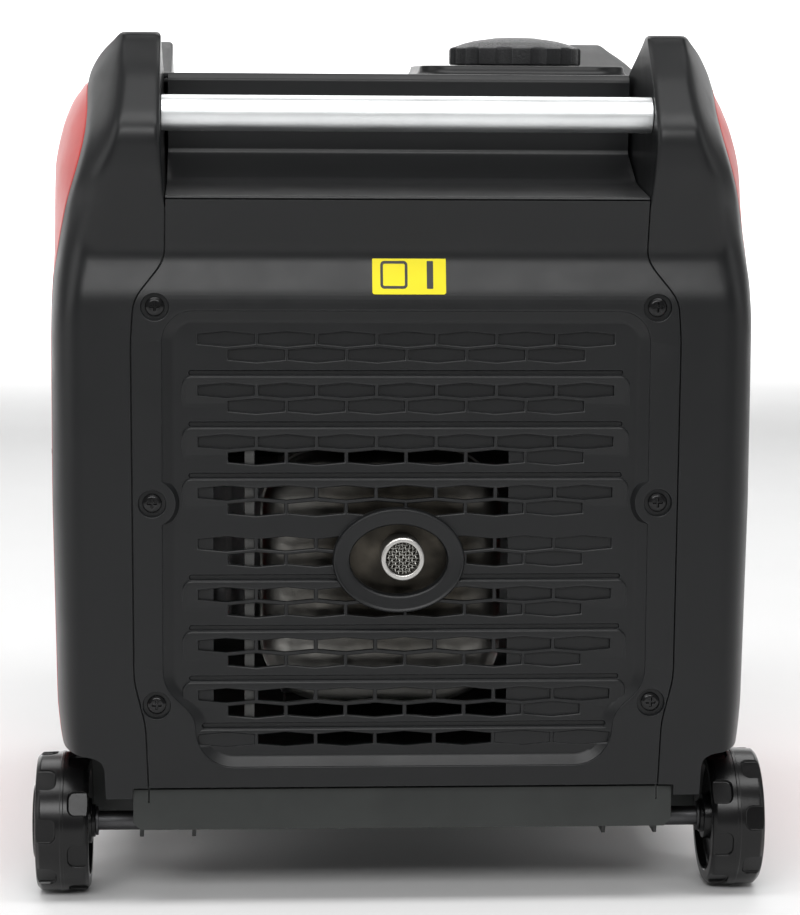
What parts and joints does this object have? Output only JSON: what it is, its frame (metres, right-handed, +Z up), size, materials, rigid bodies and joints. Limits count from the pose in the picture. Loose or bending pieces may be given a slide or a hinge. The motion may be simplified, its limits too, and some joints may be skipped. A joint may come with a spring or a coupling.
{
  "type": "portable generator",
  "caption": "Closed, wheeled inverter generator: black corner posts with carrying tubes, red side panels, slotted exhaust panel and a lobed fuel cap.",
  "frame": {"origin": "on the ground under the middle of the bounding box", "axes": "+Z up; the exhaust end faces -Y and the front panel +Y; +X is the right side as seen from the exhaust end"},
  "size_m": [0.4768, 0.552, 0.556],
  "materials": {
    "black_plastic": "fine moulded grain, satin",
    "red_plastic": "smooth semi-gloss",
    "gloss_black_plastic": "gloss moulded",
    "grey_plastic": "satin moulded",
    "rubber": "matte",
    "black_steel": "semi-gloss black paint",
    "aluminium": "clear anodised, fine drawn lines",
    "cast_aluminium": "as cast",
    "bright_steel": "zinc plated",
    "muffler_steel": "heat-stained sheet",
    "copper_winding": "lacquered winding",
    "brass": "turned",
    "filter_foam": "oiled foam"
  },
  "bodies": {
    "machine": {"rear_panel": "black_plastic", "rear_left_corner_cover": "black_plastic", "rear_right_corner_cover": "black_plastic", "front_left_corner_cover": "black_plastic", "front_right_corner_cover": "black_plastic", "top_cover": "black_plastic", "front_panel": "black_plastic", "air_filter_box": "black_plastic", "locking_outlet": "black_plastic", "left_side_panel": "red_plastic", "right_side_panel": "red_plastic", "battery": "grey_plastic", "duplex_outlet": "grey_plastic", "front_left_foot": "rubber", "front_right_foot": "rubber", "left_engine_mount": "rubber", "right_engine_mount": "rubber", "base_tray": "black_steel", "left_axle_bracket": "black_steel", "right_axle_bracket": "black_steel", "front_stand": "black_steel", "fuel_tank": "black_steel", "rocker_cover": "black_steel", "recoil_housing": "black_steel", "rear_panel_screw_1": "black_steel", "rear_panel_screw_2": "black_steel", "rear_panel_screw_3": "black_steel", "rear_panel_screw_4": "black_steel", "rear_panel_screw_5": "black_steel", "rear_panel_screw_6": "black_steel", "rear_handle_tube": "aluminium", "front_handle_tube": "aluminium", "engine_block": "cast_aluminium", "engine_cylinder": "cast_aluminium", "carburettor": "cast_aluminium", "inverter_module": "cast_aluminium", "axle": "bright_steel", "left_axle_washer": "bright_steel", "right_axle_washer": "bright_steel", "exhaust_outlet": "bright_steel", "spark_arrestor_screen": "bright_steel", "muffler_bracket": "bright_steel", "muffler": "muffler_steel", "stator": "copper_winding", "ground_terminal": "brass", "air_filter_element": "filter_foam"},
    "left_wheel": {"left_wheel": "gloss_black_plastic"},
    "right_wheel": {"right_wheel": "gloss_black_plastic"},
    "fuel_cap_insert": {"fuel_cap_insert": "grey_plastic"},
    "fuel_cap_shell": {"fuel_cap_shell": "black_plastic"},
    "service_door": {"service_door": "red_plastic"},
    "service_door_knob": {"service_door_knob": "black_plastic"},
    "rotor": {"flywheel_rotor": "cast_aluminium", "crankshaft": "bright_steel"},
    "recoil_pulley": {"recoil_pulley": "grey_plastic"},
    "recoil_grip": {"recoil_grip": "black_plastic"},
    "run_dial": {"run_dial": "grey_plastic"},
    "start_button": {"start_button": "red_plastic"},
    "ac_breaker_button": {"ac_breaker_button": "gloss_black_plastic"},
    "economy_rocker": {"economy_rocker": "gloss_black_plastic"}
  },
  "joints": [
    {"name": "left_wheel_spin", "type": "hinge", "parent": "machine", "child": "left_wheel", "pos_m": [-0.218, -0.2034, 0.0455], "axis": [1, 0, 0], "continuous": true},
    {"name": "right_wheel_spin", "type": "hinge", "parent": "machine", "child": "right_wheel", "pos_m": [0.218, -0.2034, 0.0455], "axis": [1, 0, 0], "continuous": true},
    {"name": "fuel_cap_lift", "type": "slide", "parent": "machine", "child": "fuel_cap_insert", "axis": [0, 0, 1], "range_m": [0, 0.06]},
    {"name": "fuel_cap_twist", "type": "hinge", "parent": "fuel_cap_insert", "child": "fuel_cap_shell", "pos_m": [0.089, -0.019, 0.545], "axis": [0, 0, 1], "continuous": true},
    {"name": "service_door_swing", "type": "hinge", "parent": "machine", "child": "service_door", "pos_m": [-0.2253, 0.0846, 0.275], "axis": [0, 0, -1], "range_deg": [0, 110]},
    {"name": "service_door_knob_turn", "type": "hinge", "parent": "service_door", "child": "service_door_knob", "pos_m": [-0.225, -0.087, 0.275], "axis": [-1, 0, 0], "range_deg": [0, 90]},
    {"name": "rotor_spin", "type": "hinge", "parent": "machine", "child": "rotor", "pos_m": [0.05, 0, 0.185], "axis": [1, 0, 0], "continuous": true},
    {"name": "recoil_pulley_turn", "type": "hinge", "parent": "machine", "child": "recoil_pulley", "pos_m": [0.127, 0, 0.185], "axis": [1, 0, 0], "range_deg": [0, 570], "stiffness_Nm_per_rad": 0.02, "springref_deg": -85.94},
    {"name": "recoil_grip_pull", "type": "slide", "parent": "machine", "child": "recoil_grip", "axis": [1, 0, 0], "range_m": [0, 0.45]},
    {"name": "run_dial_turn", "type": "hinge", "parent": "machine", "child": "run_dial", "pos_m": [0.095, 0.262, 0.34], "axis": [0, 1, 0], "range_deg": [0, 90]},
    {"name": "start_button_press", "type": "slide", "parent": "machine", "child": "start_button", "axis": [0, -1, 0], "range_m": [0, 0.003], "stiffness_N_per_m": 400, "springref_m": -0.001},
    {"name": "ac_breaker_press", "type": "slide", "parent": "machine", "child": "ac_breaker_button", "axis": [0, -1, 0], "range_m": [0, 0.003], "stiffness_N_per_m": 400, "springref_m": -0.001},
    {"name": "economy_rocker_tilt", "type": "hinge", "parent": "machine", "child": "economy_rocker", "pos_m": [-0.008, 0.2594, 0.34], "axis": [1, 0, 0], "range_deg": [0, 24]}
  ],
  "couplings": [
    {"joint": "recoil_grip_pull", "follows": "recoil_pulley_turn", "m_per_rad": 0.045}
  ]
}
